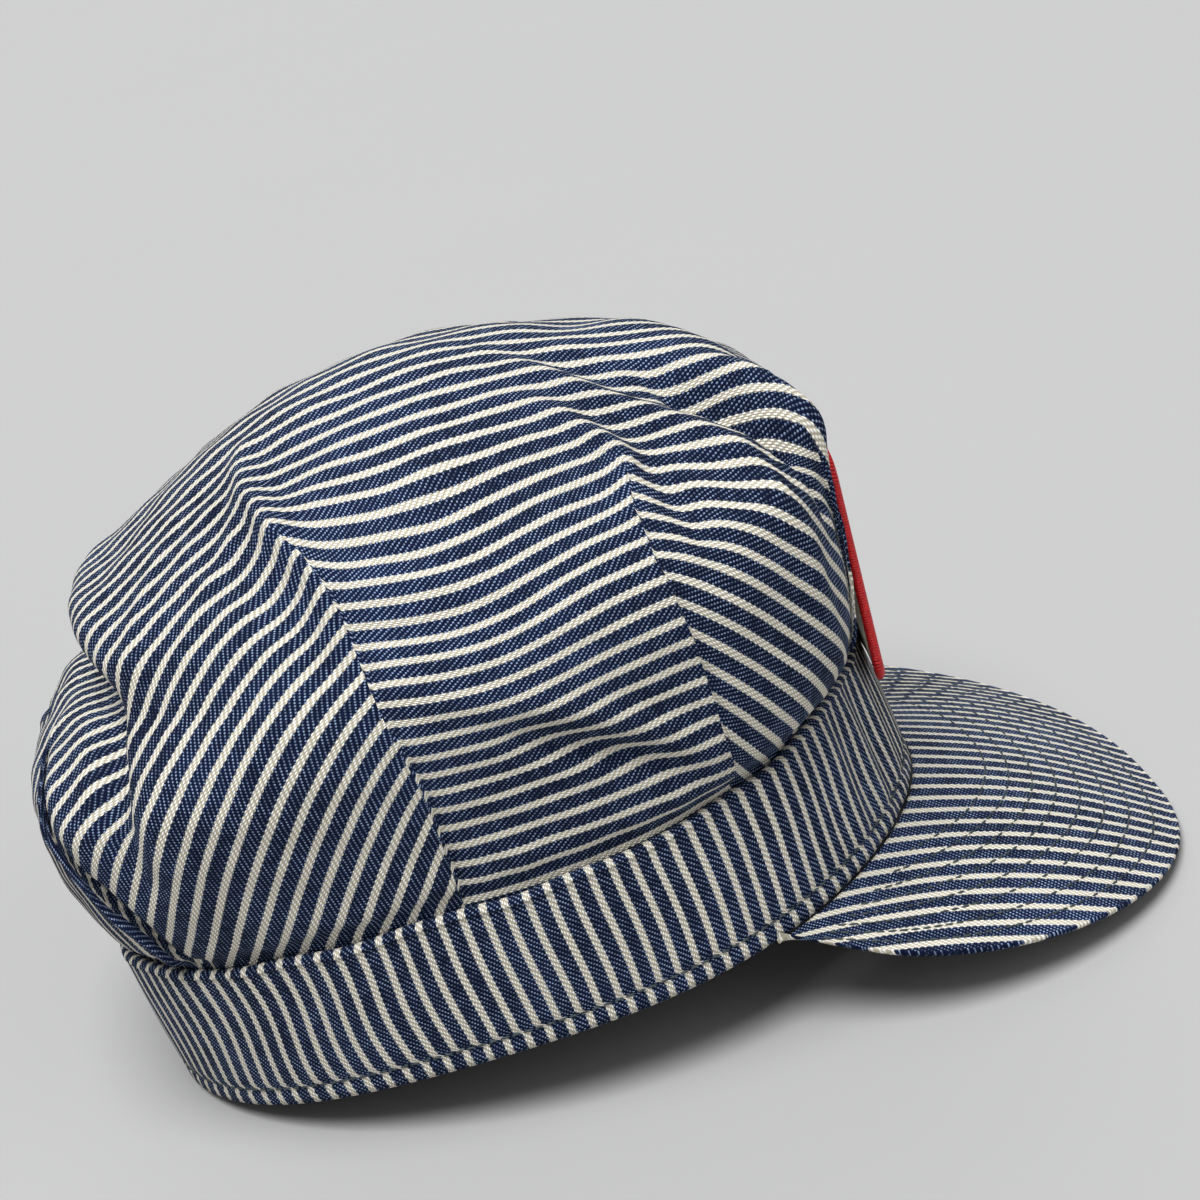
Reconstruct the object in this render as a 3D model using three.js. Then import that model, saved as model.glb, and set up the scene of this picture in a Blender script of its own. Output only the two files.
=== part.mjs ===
import * as THREE from 'three';

// A soft cap of striped cloth with a folded band, a stiff peak and a sewn-on front patch.
// Lengths are in millimetres. x runs to the wearer's left, y to the back and z up.
// The pieces are worked out over the plane of the band's lower edge, centred on the head opening.
// At the end the whole cap is tipped back until it rests on the back of the band and the tip of the peak.

const RIM_LENGTH = 196;
const RIM_WIDTH = 150;
const BAND_HEIGHT = 39.5;
const BAND_FRONT_PINCH = 4.6;
const BAND_BACK_PINCH = 1.4;
const BAND_THICKNESS = 2;
const CLOTH_THICKNESS = 1.4;
const CROWN_HEIGHT = 146;
const SEAM_GAP = 0.35;
const RIM_SIDE_RISE = 3.4;
const RIM_BACK_ARCH = 7;

const PEAK_LENGTH = 64;
const PEAK_HALF_WIDTH = 84;
const PEAK_THICKNESS = 3.2;
const PEAK_SEAM_ANGLE = 56;
const PEAK_END_WIDTH = 5;
const PEAK_PITCH = 21.7;
const PEAK_TWIST = 3.5;

const PATCH_WIDTH = 64;
const PATCH_HEIGHT = 62;
const PATCH_CORNER = 7;
const PATCH_BORDER = 4;
const PATCH_GROUND_THICKNESS = 1.4;
const PATCH_BORDER_THICKNESS = 2.2;
const PATCH_FOOT = { y: -96.2, z: 30 };
const PATCH_LEAN = 3.4;

const RING_COLUMNS = 104;
const PEAK_COLUMNS = 30;
const PEAK_ROWS = 7;

// How far the cap tips back, and how far it then moves, to rest on a surface with the origin under its middle.
const REST_TILT = 9.75;
const REST_LIFT = 16.6;
const REST_SHIFT = 22.03;

const radians = THREE.MathUtils.degToRad;

// Height of the band's lower edge over its plane: the sides ride up behind the ears.
const rimRise = (angle) => {
  const ahead = Math.cos(angle);
  const aside = Math.sin(angle) ** 2;
  return aside * (RIM_SIDE_RISE - RIM_BACK_ARCH * ahead);
};

// One point of a plan ring. The angle is measured at the centre, from the front to the wearer's right.
const ringPoint = (angle, ring) => {
  const ahead = Math.cos(angle);
  const aside = Math.sin(angle);
  const reach = ahead > 0 ? ring.front : ring.back;
  const power = ahead > 0 ? ring.frontPower : ring.backPower;
  const across = Math.abs(aside / ring.half) ** power;
  const along = Math.abs(ahead / reach) ** power;
  const radius = (across + along) ** (-1 / power);
  const frontShare = ahead > 0 ? ahead ** 2 : 0;
  const backShare = ahead > 0 ? 0 : ahead ** 2;
  const up = ring.side + (ring.ahead - ring.side) * frontShare + (ring.behind - ring.side) * backShare;
  return new THREE.Vector3(-radius * aside, -radius * ahead, up);
};

// The crown, ring by ring from the hem inside the band to the top.
// half, front and back are its reach; side, ahead and behind are its height at the side, front and back.
const CROWN_RINGS = [
  { half: 72.4, front: 93.4, back: 95.4, side: 12, ahead: 12, behind: 12, frontPower: 2, backPower: 2 },
  { half: 74.0, front: 92.2, back: 95.6, side: 38.5, ahead: 38.5, behind: 38.5, frontPower: 2, backPower: 2 },
  { half: 76.0, front: 94.0, back: 99.5, side: 47, ahead: 47, behind: 46, frontPower: 2.7, backPower: 2.1 },
  { half: 77.0, front: 95.6, back: 102.0, side: 58, ahead: 60, behind: 58, frontPower: 3.3, backPower: 2.2 },
  { half: 78.6, front: 97.6, back: 102.6, side: 71, ahead: 75, behind: 71, frontPower: 3.4, backPower: 2.3 },
  { half: 79.8, front: 98.9, back: 99.5, side: 85, ahead: 90, behind: 84, frontPower: 3.4, backPower: 2.4 },
  { half: 78.0, front: 99.6, back: 88.0, side: 98, ahead: 99.7, behind: 96, frontPower: 3.2, backPower: 2.4 },
  { half: 71.5, front: 96.2, back: 76.5, side: 107.3, ahead: 105.4, behind: 105.5, frontPower: 2.8, backPower: 2.4 },
  { half: 63.8, front: 88.7, back: 74.5, side: 115.8, ahead: 111.3, behind: 114.5, frontPower: 2.4, backPower: 2.3 },
  { half: 55.5, front: 77.8, back: 67.5, side: 123.1, ahead: 118.6, behind: 121.8, frontPower: 2.2, backPower: 2.2 },
  { half: 46.0, front: 65.4, back: 54.5, side: 130, ahead: 128.5, behind: 128.5, frontPower: 2.1, backPower: 2.1 },
  { half: 34.6, front: 50.9, back: 41.0, side: 135.4, ahead: 136.8, behind: 135, frontPower: 2, backPower: 2 },
  { half: 23.0, front: 34.9, back: 27.5, side: 140.3, ahead: 142.4, behind: 140.3, frontPower: 2, backPower: 2 },
  { half: 11.8, front: 17.5, back: 14.0, side: 144.2, ahead: 145.6, behind: 144.3, frontPower: 2, backPower: 2 },
];

// Folds of the crown, alike on both sides. Each runs from one ring and angle to another.
// width is its half width along the ring, and rise is how far it stands out of the cloth.
const CROWN_FOLDS = [
  { fold: 'front top', from: 5.4, to: 9.6, start: 22, end: 8, width: 10, rise: 2.6 },
  { fold: 'front pleat hollow', from: 4.6, to: 8.2, start: 28, end: 25, width: 4, rise: -3.2 },
  { fold: 'crease', from: 4.2, to: 10.6, start: 37, end: 24, width: 5, rise: 1.6 },
  { fold: 'side front dart', from: 1.2, to: 8.0, start: 54, end: 47, width: 3.5, rise: -1.4 },
  { fold: 'side front pucker', from: 6.8, to: 9.2, start: 47, end: 40, width: 4, rise: 1.4 },
  { fold: 'side back dart', from: 1.2, to: 9.6, start: 101, end: 108, width: 3.5, rise: -1.6 },
  { fold: 'side back ridge', from: 8.4, to: 11.4, start: 106, end: 134, width: 6, rise: 2.2 },
  { fold: 'back pleat edge', from: 1.6, to: 6.0, start: 153, end: 170, width: 4, rise: 1.4 },
  { fold: 'back valley', from: 3.2, to: 7.4, start: 147, end: 152, width: 8, rise: -4.2 },
  { fold: 'back overhang', from: 5.6, to: 8.2, start: 158, end: 176, width: 8, rise: -3.4 },
];

const foldHeight = (angle, level, radius) => {
  const turned = Math.abs(Math.atan2(Math.sin(angle), Math.cos(angle)));
  let height = 0;
  for (const fold of CROWN_FOLDS) {
    const share = (level - fold.from) / (fold.to - fold.from);
    if (share <= 0 || share >= 1) continue;
    const middle = radians(fold.start + (fold.end - fold.start) * share);
    const across = ((turned - middle) * radius) / fold.width;
    height += fold.rise * Math.sin(Math.PI * share) ** 0.6 * Math.exp(-across * across);
  }
  return height;
};

// Closed skin over rows of points. Each row wraps round, and a row of one point is a pole.
const skin = (rows, closeEnds) => {
  const positions = [];
  const starts = rows.map((row) => {
    const start = positions.length / 3;
    row.forEach((point) => positions.push(point.x, point.y, point.z));
    return start;
  });
  const faces = [];
  const pairs = closeEnds ? rows.length : rows.length - 1;
  for (let i = 0; i < pairs; i += 1) {
    const next = (i + 1) % rows.length;
    const low = rows[i];
    const high = rows[next];
    const count = Math.max(low.length, high.length);
    for (let j = 0; j < count; j += 1) {
      const k = (j + 1) % count;
      const a = starts[i] + (low.length > 1 ? j : 0);
      const b = starts[i] + (low.length > 1 ? k : 0);
      const c = starts[next] + (high.length > 1 ? k : 0);
      const d = starts[next] + (high.length > 1 ? j : 0);
      if (low.length > 1) faces.push(a, b, c);
      if (high.length > 1) faces.push(a, c, d);
    }
  }
  const geometry = new THREE.BufferGeometry();
  geometry.setAttribute('position', new THREE.Float32BufferAttribute(positions, 3));
  geometry.setIndex(faces);
  geometry.computeVertexNormals();
  return geometry;
};

const ringAngles = Array.from({ length: RING_COLUMNS }, (_, j) => -(2 * Math.PI * j) / RING_COLUMNS);

// The crown's outer rows, with its folds, then an inner wall one cloth thickness inside it.
const crownGeometry = () => {
  const smooth = CROWN_RINGS.map((ring, i) => ringAngles.map((angle) => {
    const point = ringPoint(angle, ring);
    point.z += rimRise(angle) * Math.min(1, Math.max(0, 1.25 - i / 5));
    return point;
  }));
  const top = new THREE.Vector3(0, 0, CROWN_HEIGHT);
  const at = (i, j) => (i < smooth.length ? smooth[i][(j + RING_COLUMNS) % RING_COLUMNS] : top);
  const outwards = (i, j) => {
    const along = at(i, j + 1).clone().sub(at(i, j - 1));
    const up = at(i + 1, j).clone().sub(at(Math.max(i - 1, 0), j));
    const normal = along.cross(up).normalize();
    return normal.dot(at(i, j).clone().setZ(0)) < 0 ? normal.negate() : normal;
  };
  const outer = smooth.map((row, i) => row.map((point, j) => {
    const radius = Math.hypot(point.x, point.y);
    return point.clone().addScaledVector(outwards(i, j), foldHeight(ringAngles[j], i, radius));
  }));
  const inner = outer.map((row, i) => row.map((point, j) => {
    return point.clone().addScaledVector(outwards(i, j), -CLOTH_THICKNESS);
  }));
  const innerTop = top.clone().setZ(CROWN_HEIGHT - CLOTH_THICKNESS);
  return skin([[innerTop], ...inner.reverse(), ...outer, [top]], false);
};

// The band: a strip folded over at its top edge, swept round the head opening.
// out is measured from the lower edge's outside, up from the lower edge.
const BAND_SECTION = [
  { out: 0, up: 0 },
  { out: 0.6, up: BAND_HEIGHT * 0.5 },
  { out: 2, up: BAND_HEIGHT - 1 },
  { out: 2 - BAND_THICKNESS * 0.5, up: BAND_HEIGHT },
  { out: 2 - BAND_THICKNESS, up: BAND_HEIGHT - 1 },
  { out: 0.6 - BAND_THICKNESS, up: BAND_HEIGHT * 0.5 },
  { out: -BAND_THICKNESS, up: 0 },
];

const bandPoint = (angle, out, up) => {
  const share = up / BAND_HEIGHT;
  const ring = {
    half: RIM_WIDTH / 2 + out,
    front: RIM_LENGTH / 2 + out - BAND_FRONT_PINCH * share,
    back: RIM_LENGTH / 2 + out - BAND_BACK_PINCH * share,
    side: 0,
    ahead: 0,
    behind: 0,
    frontPower: 2,
    backPower: 2,
  };
  return ringPoint(angle, ring).setZ(rimRise(angle) + up);
};

const bandGeometry = () => {
  const rows = BAND_SECTION.map(({ out, up }) => ringAngles.map((angle) => bandPoint(angle, out, up)));
  return skin(rows, true);
};

// The peak, from its seam on the band's lower edge to its outer edge.
// share runs across the peak, 0 in the middle and 1 at an end.
const peakEdge = (share) => {
  const turn = (share * Math.PI) / 2;
  const end = bandPoint(radians(PEAK_SEAM_ANGLE), PEAK_END_WIDTH, 0);
  const tip = -(RIM_LENGTH / 2 + PEAK_LENGTH - 8);
  const y = end.y + (tip - end.y) * Math.cos(turn) ** 0.85;
  const x = PEAK_HALF_WIDTH * Math.sin(turn) ** 0.85 - (PEAK_HALF_WIDTH + end.x) * share ** 10;
  const slope = Math.tan(radians(PEAK_PITCH));
  return new THREE.Vector3(x, y, slope * (y + 50) + 2.6 * share + 1.5);
};

const peakGeometry = () => {
  const columns = [];
  for (let j = 0; j <= PEAK_COLUMNS; j += 1) {
    const share = (2 * j) / PEAK_COLUMNS - 1;
    const angle = radians(PEAK_SEAM_ANGLE) * share;
    const seam = bandPoint(angle, SEAM_GAP, 0);
    const edge = peakEdge(Math.abs(share));
    edge.x *= -Math.sign(share);
    edge.z += (PEAK_TWIST * edge.x) / PEAK_HALF_WIDTH;
    const top = [];
    for (let i = 0; i <= PEAK_ROWS; i += 1) {
      const along = i / PEAK_ROWS;
      const point = seam.clone().lerp(edge, along);
      point.z += 3.2 * Math.sin(Math.PI * along) * (1 - share * share);
      top.push(point);
    }
    const under = top.map((point) => point.clone().setZ(point.z - PEAK_THICKNESS)).reverse();
    columns.push([...top, ...under].reverse());
  }
  const first = columns[0];
  const last = columns[columns.length - 1];
  const centre = (column) => {
    const sum = column.reduce((total, point) => total.add(point), new THREE.Vector3());
    return sum.divideScalar(column.length);
  };
  return skin([[centre(first)], ...columns, [centre(last)]], false);
};

// Outline of the patch, a square with rounded corners, inset from its outside.
const patchOutline = (inset, Outline) => {
  const w = PATCH_WIDTH / 2 - inset;
  const h = PATCH_HEIGHT / 2 - inset;
  const r = PATCH_CORNER - inset * 0.6;
  const outline = new Outline();
  outline.moveTo(-w + r, -h);
  outline.absarc(w - r, -h + r, r, -Math.PI / 2, 0, false);
  outline.absarc(w - r, h - r, r, 0, Math.PI / 2, false);
  outline.absarc(-w + r, h - r, r, Math.PI / 2, Math.PI, false);
  outline.absarc(-w + r, -h + r, r, Math.PI, Math.PI * 1.5, false);
  return outline;
};

const patchBorderGeometry = () => {
  const shape = patchOutline(0, THREE.Shape);
  shape.holes.push(patchOutline(PATCH_BORDER, THREE.Path));
  return new THREE.ExtrudeGeometry(shape, { depth: PATCH_BORDER_THICKNESS, bevelEnabled: false, curveSegments: 5 });
};

const patchGroundGeometry = () => {
  const shape = patchOutline(PATCH_BORDER + SEAM_GAP, THREE.Shape);
  return new THREE.ExtrudeGeometry(shape, { depth: PATCH_GROUND_THICKNESS, bevelEnabled: false, curveSegments: 5 });
};

const cloth = new THREE.MeshStandardMaterial({ color: 0x5a6a8c, roughness: 0.9, metalness: 0 });
const bandCloth = new THREE.MeshStandardMaterial({ color: 0x66759a, roughness: 0.9, metalness: 0 });
const peakCloth = new THREE.MeshStandardMaterial({ color: 0x7e8792, roughness: 0.9, metalness: 0 });
const redThread = new THREE.MeshStandardMaterial({ color: 0xb01c22, roughness: 0.7, metalness: 0 });
const creamTwill = new THREE.MeshStandardMaterial({ color: 0xe4dcc6, roughness: 0.85, metalness: 0 });

const piece = (name, geometry, material) => {
  const mesh = new THREE.Mesh(geometry, material);
  mesh.name = name;
  return mesh;
};

const patch = new THREE.Group();
patch.add(piece('patch_ground', patchGroundGeometry(), creamTwill));
patch.add(piece('patch_border', patchBorderGeometry(), redThread));
patch.rotation.x = Math.PI / 2 + radians(PATCH_LEAN);
patch.position.set(0, PATCH_FOOT.y, PATCH_FOOT.z);
patch.children.forEach((mesh) => mesh.position.set(0, PATCH_HEIGHT / 2, 0));

const cap = new THREE.Group();
cap.add(piece('crown', crownGeometry(), cloth));
cap.add(piece('band', bandGeometry(), bandCloth));
cap.add(piece('peak', peakGeometry(), peakCloth));
cap.add(patch);
cap.rotation.x = -radians(REST_TILT);
cap.position.set(0, REST_SHIFT, REST_LIFT);

const scene = new THREE.Group();
scene.add(cap);

export default scene;
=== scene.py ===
"""A striped engineer cap: a soft crown taken in by darts, a folded band, a stiff peak and a front patch.

Shapes are worked out in millimetres over the plane of the band's lower edge, with its centre at the head opening,
the front at -Y and the wearer's right at -X. The finished points are then tipped back as the cap rests, and turned
into metres.
"""

import math

import bmesh
import bpy
import numpy as np
from mathutils import Matrix, Vector


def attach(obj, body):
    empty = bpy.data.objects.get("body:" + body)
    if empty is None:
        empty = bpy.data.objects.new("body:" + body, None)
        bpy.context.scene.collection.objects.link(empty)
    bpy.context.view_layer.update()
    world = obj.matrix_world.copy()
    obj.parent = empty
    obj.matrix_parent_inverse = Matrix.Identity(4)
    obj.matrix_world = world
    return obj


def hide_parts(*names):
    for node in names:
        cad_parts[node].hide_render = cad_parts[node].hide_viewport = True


bl_info = {
    "name": "Engineer cap",
    "version": (1, 0, 0),
    "blender": (4, 5, 0),
    "location": "3D View > Sidebar > Cap",
    "description": "Builds a striped engineer cap piece by piece",
    "category": "Object",
}

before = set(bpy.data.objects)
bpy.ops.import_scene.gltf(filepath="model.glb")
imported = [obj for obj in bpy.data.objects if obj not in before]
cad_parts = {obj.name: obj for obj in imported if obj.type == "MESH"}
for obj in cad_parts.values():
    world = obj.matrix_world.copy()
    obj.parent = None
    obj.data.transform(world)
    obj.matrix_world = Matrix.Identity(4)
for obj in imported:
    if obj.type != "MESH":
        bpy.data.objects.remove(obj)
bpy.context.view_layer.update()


def number(name, default, about, unit="NONE"):
    """A number that the panel shows."""
    return bpy.props.FloatProperty(name=name, description=about, default=default, unit=unit)


def tint(name, default, about):
    """A colour that the panel shows."""
    return bpy.props.FloatVectorProperty(name=name, description=about, default=default, subtype="COLOR", size=3)


class CapSizes(bpy.types.PropertyGroup):
    cloth: number("Cloth thickness", 0.0012, "Thickness of the crown's cloth", "LENGTH")
    stitch: number("Stitch length", 0.0027, "Length of one stitch and the gap after it", "LENGTH")
    thread: number("Thread radius", 0.00031, "Radius of the sewing thread", "LENGTH")


class ClothLook(bpy.types.PropertyGroup):
    pitch: number("Stripe pitch", 0.00497, "From one pale stripe to the next", "LENGTH")
    share: number("Pale share", 0.34, "Part of the pitch that is pale")
    navy: tint("Navy yarn", (0.0038, 0.0098, 0.0400), "Colour of the dark stripes")
    cream: tint("Cream yarn", (0.90, 0.885, 0.815), "Colour of the pale stripes")
    fleck: tint("Fleck", (0.29, 0.385, 0.575), "Pale cross yarn that shows between the navy ones")
    thread: tint("Sewing thread", (0.028, 0.040, 0.044), "Colour of the topstitching")


class PatchLook(bpy.types.PropertyGroup):
    edge: tint("Edge thread", (0.50, 0.006, 0.009), "Colour of the overlocked edge")
    field: tint("Field", (0.78, 0.73, 0.60), "Colour of the patch's twill")


class StageLook(bpy.types.PropertyGroup):
    floor: tint("Floor", (0.385, 0.385, 0.387), "Colour of the floor")
    key: number("Main light", 4.1, "Strength of the large soft light overhead")
    wall: number("Surroundings", 0.26, "Strength of the light from all round")


# ---- shape of the cap

# How the cap rests: the angle it is tipped back by, and then how far it is moved back and up.
REST_TILT = math.radians(9.75)
REST_SHIFT = 22.03
REST_LIFT = 16.6

# The outside of the head opening, from its centre to the front and to the side, and the band that stands on it.
RIM_REACH = 98.0
RIM_HALF = 75.0
BAND_HEIGHT = 39.5

# The crown, ring by ring from the hem inside the band to the top: its half width, its reach to the front and to
# the back, its height at the side, the front and the back, and how square its front and its back are.
CROWN_RINGS = np.array([
    (72.4, 93.4, 95.4, 12, 12, 12, 2, 2),
    (74.0, 92.2, 95.6, 38.5, 38.5, 38.5, 2, 2),
    (76.0, 94.0, 99.5, 47, 47, 46, 2.7, 2.1),
    (77.0, 95.6, 102.0, 58, 60, 58, 3.3, 2.2),
    (78.6, 97.6, 102.6, 71, 75, 71, 3.4, 2.3),
    (79.8, 98.9, 99.5, 85, 90, 84, 3.4, 2.4),
    (78.0, 99.6, 88.0, 98, 99.7, 96, 3.2, 2.4),
    (71.5, 96.2, 76.5, 107.3, 105.4, 105.5, 2.8, 2.4),
    (63.8, 88.7, 74.5, 115.8, 111.3, 114.5, 2.4, 2.3),
    (55.5, 77.8, 67.5, 123.1, 118.6, 121.8, 2.2, 2.2),
    (46.0, 65.4, 54.5, 130, 128.5, 128.5, 2.1, 2.1),
    (34.6, 50.9, 41.0, 135.4, 136.8, 135, 2, 2),
    (23.0, 34.9, 27.5, 140.3, 142.4, 140.3, 2, 2),
    (11.8, 17.5, 14.0, 144.2, 145.6, 144.3, 2, 2),
    (0, 0, 0, 146, 146, 146, 2, 2),
])
TOP = len(CROWN_RINGS) - 1
CROWN_HEIGHT = CROWN_RINGS[TOP, 3]

# Darts and pleats of the wearer's right side, front to back. Each has the height of the small peak that it ends in,
# the rings over which it closes, the ring where it ends, its half width, how far it laps, its depth, which side
# lies on top, and its line as rows of ring and angle.
DARTS = [
    {"name": "front pleat", "tuck": 5.0, "ramp": 3.4, "end": 6.8, "width": 6.0,
     "lap": 4.0, "depth": 1.4, "over": 1,
     "line": ((0, 20), (2, 21), (6, 23.5), (7.5, 23.5), (9, 23), (14, 30))},
    {"name": "side front dart", "tuck": 17.0, "ramp": 2.0, "end": 8.35, "width": 5.0,
     "lap": 0.0, "depth": 1.6, "over": 1,
     "line": ((0, 52), (1.2, 53), (2.7, 55.5), (5.3, 56), (6.3, 55), (7.4, 50.5), (8.3, 43.5), (9.5, 40),
              (14, 38))},
    {"name": "side back dart", "tuck": 18.0, "ramp": 2.0, "end": 9.9, "width": 5.0,
     "lap": 0.0, "depth": 1.9, "over": 1,
     "line": ((0, 103), (1.8, 102), (4.3, 100), (6.1, 101), (7.8, 102.5), (8.6, 104.5), (9.3, 108), (10.6, 121),
              (14, 128))},
    {"name": "back pleat", "tuck": 5.0, "ramp": 1.7, "end": 6.6, "width": 6.0,
     "lap": 5.0, "depth": 1.7, "over": -1,
     "line": ((0, 151), (2, 152), (3, 153.5), (4, 156), (4.6, 159.5), (5.2, 165), (5.8, 171), (6.6, 174),
              (9, 174), (14, 165))},
]

# Folds and waves: the name, the sides it is on (1 right, -1 left, 0 both), its half width, its rise, and its path as
# rows of angle, ring and share of the rise. A path without shares swells and fades by itself.
FOLDS = [
    ("front top", 1, 14.0, 7.2,
     ((-8, 9.4, 0.4), (3, 9.3, 0.8), (12, 8.9, 1), (19, 8.1, 1), (22.5, 7.4, 0.9), (23, 6.6, 0.4), (24, 5.8, 0))),
    ("front corner", 1, 15.0, 2.2, ((-12, 8.5, 0.5), (0, 8.5, 1), (10, 8.4, 1), (18, 8.0, 1), (20, 7.2, 0.4))),
    ("front pleat ridge", 1, 3.6, 3.6,
     ((21, 3.2, 0), (21, 4.5, 0.2), (21, 5.6, 0.6), (21, 6.3, 1), (20.5, 7, 1), (19.5, 7.7, 0.7),
      (18, 8.4, 0.3), (16, 9.2, 0))),
    ("left pleat ridge", -1, 4.6, 2.0, ((21, 3.2, 0), (21, 4.5, 0.3), (21, 5.4, 1), (21, 6.0, 0.6), (20, 6.6, 0))),
    ("front hollow", 1, 3.4, -9.0,
     ((27.5, 4.4, 0), (28, 5.3, 0.5), (27.5, 6.2, 0.9), (26.5, 7, 1), (25, 7.8, 1), (23, 8.5, 0.9),
      (20, 9.1, 0.5), (16, 9.7, 0))),
    ("left front hollow", -1, 5.0, -3.0, ((28, 4.4, 0), (29, 5.6, 1), (28, 6.6, 0.6), (25, 7.6, 0))),
    ("left corner", -1, 9.0, -4.5, ((14, 8.2, 0.6), (26, 7.8, 1), (40, 7.4, 1), (52, 7.0, 0.4))),
    ("crease", 0, 4.2, 2.8,
     ((16, 11.6), (24, 10.7), (28, 9.9), (29, 9), (31, 8.1), (34, 6.8), (37, 5.9), (36.5, 5.1), (36, 4),
      (33, 2.6))),
    ("crease shelf", 0, 4.6, -2.2,
     ((12, 11.8), (18.5, 10.9), (22, 10.0), (24.5, 9.1), (27, 8.2), (29.5, 7.0), (32.5, 6.0))),
    ("pucker", 0, 3.6, 3.0,
     ((36.5, 10.2, 0.2), (38.5, 9.4, 0.7), (41, 8.6, 1), (43, 8.3, 1), (47, 7.9, 0.7), (51, 7.2, 0.3))),
    ("pucker shelf", 0, 4.4, -1.5, ((32, 10.2), (34.5, 9.2), (37.5, 8.3))),
    ("dart dip", 0, 3.6, -2.8, ((41.5, 7.9, 0.5), (44.5, 7.3, 1), (48, 6.3, 0.8), (50.5, 5.0, 0))),
    ("corner ridge", 1, 3.9, 4.6,
     ((150, 12.1, 0.3), (135, 11.4, 0.6), (122, 10.6, 1), (112, 9.7, 1), (106, 8.8, 0.7), (104, 7.6, 0.2))),
    ("left corner ridge", -1, 6.0, 1.2, ((135, 11.0), (120, 10.0), (108, 8.6))),
    ("behind the ridge", 0, 5.5, -2.2, ((140, 10.4), (124, 9.4), (113, 8.2), (108, 7.0))),
    ("rear crease", 1, 2.4, 0.9, ((135, 11.4), (132, 10.3), (134, 9.2), (135, 8.2))),
    ("rear crease 2", 1, 2.6, 0.9, ((158, 10.6), (151, 9.0), (147, 8.0))),
    ("upper rear bulge", 1, 7.0, 2.8, ((200, 8.6, 0.8), (180, 8.6, 1), (162, 8.4, 1), (150, 8.0, 0.4))),
    ("rear valley", 0, 6.0, -7.5,
     ((190, 7.2, 0.6), (178, 7.2, 0.8), (170, 7.2, 1), (161, 7.0, 1), (154, 6.6, 1), (149, 5.9, 0.95),
      (146, 5.0, 0.7), (146, 4.0, 0.35), (148, 3.0, 0))),
    ("lower bulge", 1, 5.0, 2.4, ((172, 6.0, 0.6), (162, 5.5, 1), (155, 4.9, 0.6))),
    ("sag ridge", 1, 4.6, 1.9, ((92, 5.6), (82, 5.2), (72, 4.4), (65, 3.6), (58, 2.6))),
    ("sag shadow", 1, 4.2, -3.0, ((82, 4.4), (74, 3.8), (67, 3.2), (61, 2.3))),
    ("left sag", -1, 6.0, -2.0, ((88, 6.0), (78, 4.8), (68, 3.6))),
    ("upper wave", 1, 4.5, 1.3, ((100, 8.4), (90, 7.9), (78, 7.5))),
    ("upper wave dip", 1, 4.5, -1.3, ((99, 7.3), (88, 7.0), (76, 6.7))),
    ("top wave", 0, 6.0, 0.9, ((60, 11.0), (75, 10.0), (88, 9.4))),
]

# On the left side a pleat laps less, a fold rises less, and it lies some degrees further round.
LEFT_LAP = 0.6
LEFT_RISE = 0.6
LEFT_TURN = 2.5

# Where the cloth has slipped down on its way round the sides: angle, ring, reach and slip in millimetres.
SLIPS = [(84, 8.3, 30.0, 8.0), (82, 5.8, 24.0, 3.0)]

# The cloth is shared out evenly over the folds between these angles, on the rings between the first and the last
# of these, with full effect on those between the middle two.
EVEN_ANGLES = (1.0, 44.0)
EVEN_RINGS = (4.5, 5.5, 10.2, 11.2)

# The flat cloth's grid: its columns in each of the eight panels between dart lines, and its rows of rings.
FLAT_COLUMNS = (9, 11, 13, 12, 13, 11, 9, 10)
FLAT_LEVELS = np.linspace(0, TOP, 57)
# Reach of the small peak at each dart's end, and the height on the middle line that it points away from.
TUCK_REACH = 34.0
TUCK_CENTRE = 60.0

# The fine crown's columns over each dart, and in each panel after it.
DART_COLUMNS = 17
PANEL_COLUMNS = (26, 34, 40, 22, 26, 24, 20, 30)


def to_rest(points):
    """Tips points in millimetres back as the cap rests, and gives them in metres."""
    points = np.asarray(points, float)
    c, s = math.cos(REST_TILT), math.sin(REST_TILT)
    y = points[..., 1] * c + points[..., 2] * s + REST_SHIFT
    z = -points[..., 1] * s + points[..., 2] * c + REST_LIFT
    return np.stack([points[..., 0], y, z], -1) / 1000


def unit(vectors):
    """Vectors of length 1."""
    return vectors / (np.linalg.norm(vectors, axis=-1, keepdims=True) + 1e-12)


def rim_rise(angle):
    """Height of the band's lower edge over its plane: it dips beside the peak and rises towards the back."""
    return np.sin(angle) ** 2 * (3.4 - 7.0 * np.cos(angle))


def smooth_rings(level):
    """The crown's rings at any level, on a smooth curve through the table."""
    mirror = CROWN_RINGS[TOP - 1] * np.array((-1, -1, -1, 1, 1, 1, 1, 1))
    rows = np.vstack([2 * CROWN_RINGS[0] - CROWN_RINGS[1], CROWN_RINGS, mirror])
    i = np.clip(np.floor(level).astype(int), 0, TOP - 1)
    t = (level - i)[..., None]
    a, b, c, d = rows[i], rows[i + 1], rows[i + 2], rows[i + 3]
    return 0.5 * (2 * b + (c - a) * t + (2 * a - 5 * b + 4 * c - d) * t * t + (3 * b - a - 3 * c + d) * t ** 3)


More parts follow.
